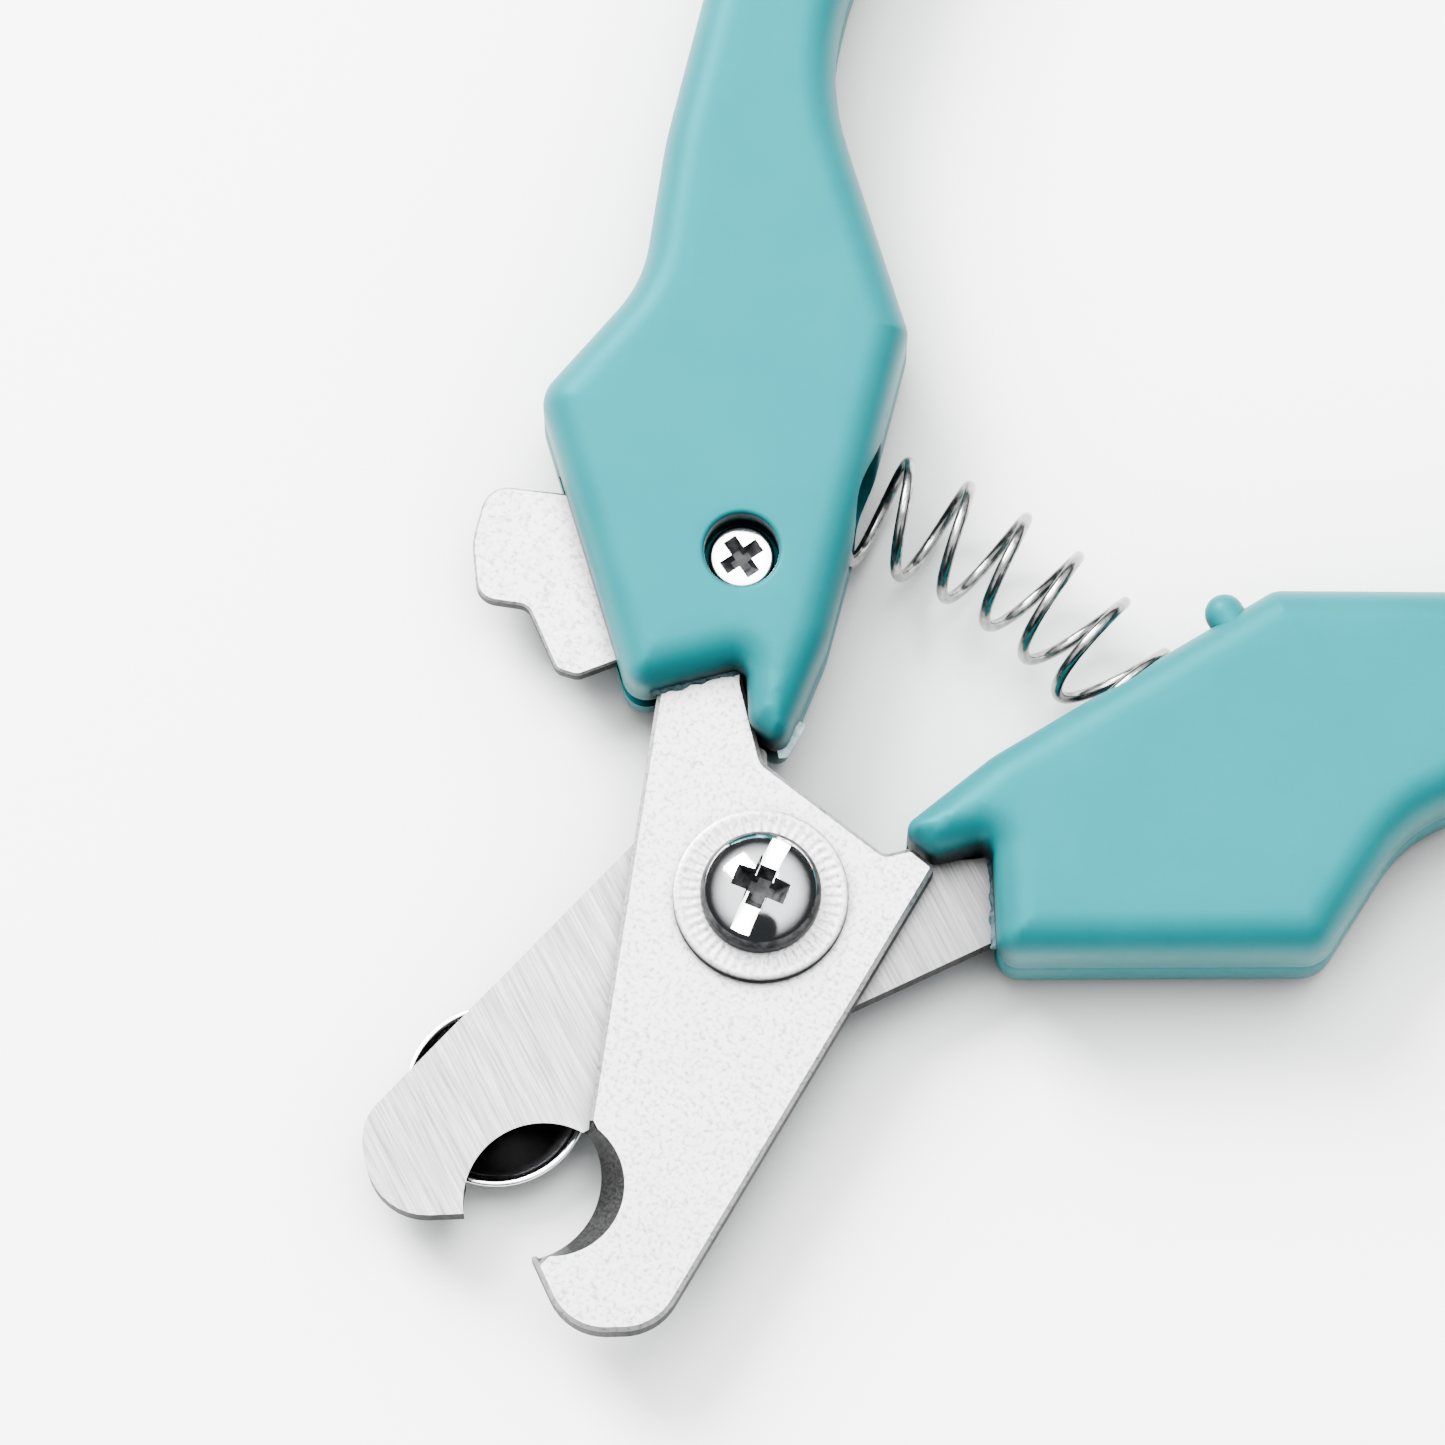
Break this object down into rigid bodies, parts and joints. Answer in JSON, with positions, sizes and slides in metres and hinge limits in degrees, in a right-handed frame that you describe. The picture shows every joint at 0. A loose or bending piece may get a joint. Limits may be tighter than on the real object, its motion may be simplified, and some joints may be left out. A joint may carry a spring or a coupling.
{
  "type": "pet nail clipper",
  "caption": "Plier-type pet nail clipper with notched crossing blades, sprung moulded handles, a swinging lock plate and a swinging guard cup.",
  "frame": {"origin": "on the resting plane, under the pivot axis: the centre of the pivot nut's rear face", "axes": "+Y from the pivot towards the handles along the symmetry line, +X to the right seen from the front, +Z out of the front, along the pivot screw towards its head"},
  "size_m": [0.1008, 0.1316, 0.0116],
  "materials": {
    "teal_plastic": "satin moulded",
    "blade_steel": "satin blasted",
    "ground_steel": "ground",
    "plated_steel": "bright plated",
    "spring_steel": "bright drawn"
  },
  "bodies": {
    "left_half": {"left_handle_front": "teal_plastic", "left_handle_rear": "teal_plastic", "front_blade": "blade_steel", "left_tang_pins": "plated_steel", "pivot_screw": "plated_steel", "pivot_washer": "blade_steel", "pivot_spring_washer": "spring_steel", "guard_washer": "blade_steel", "pivot_nut": "plated_steel", "lock_screw": "plated_steel", "lock_washer": "blade_steel", "lock_nut": "plated_steel", "return_spring": "spring_steel"},
    "right_half": {"right_handle_front": "teal_plastic", "right_handle_rear": "teal_plastic", "rear_blade": "ground_steel", "right_tang_pins": "plated_steel"},
    "lock": {"lock_plate": "blade_steel"},
    "guard": {"guard_arm": "blade_steel", "guard_cup": "plated_steel", "guard_rivet": "plated_steel"}
  },
  "joints": [
    {"name": "squeeze", "type": "hinge", "parent": "left_half", "child": "right_half", "pos_m": [0, 0, 0.0055], "axis": [0, 0, 1], "range_deg": [0, 41.5], "stiffness_Nm_per_rad": 1, "springref_deg": -11.46, "deforming": ["return_spring"]},
    {"name": "lock_swing", "type": "hinge", "parent": "left_half", "child": "lock", "pos_m": [-0.0147, 0.0177, 0.0046], "axis": [0, 0, 1], "range_deg": [0, 48]},
    {"name": "guard_swing", "type": "hinge", "parent": "left_half", "child": "guard", "pos_m": [0, 0, 0.0028], "axis": [0, 0, 1], "range_deg": [-60, 20]}
  ]
}
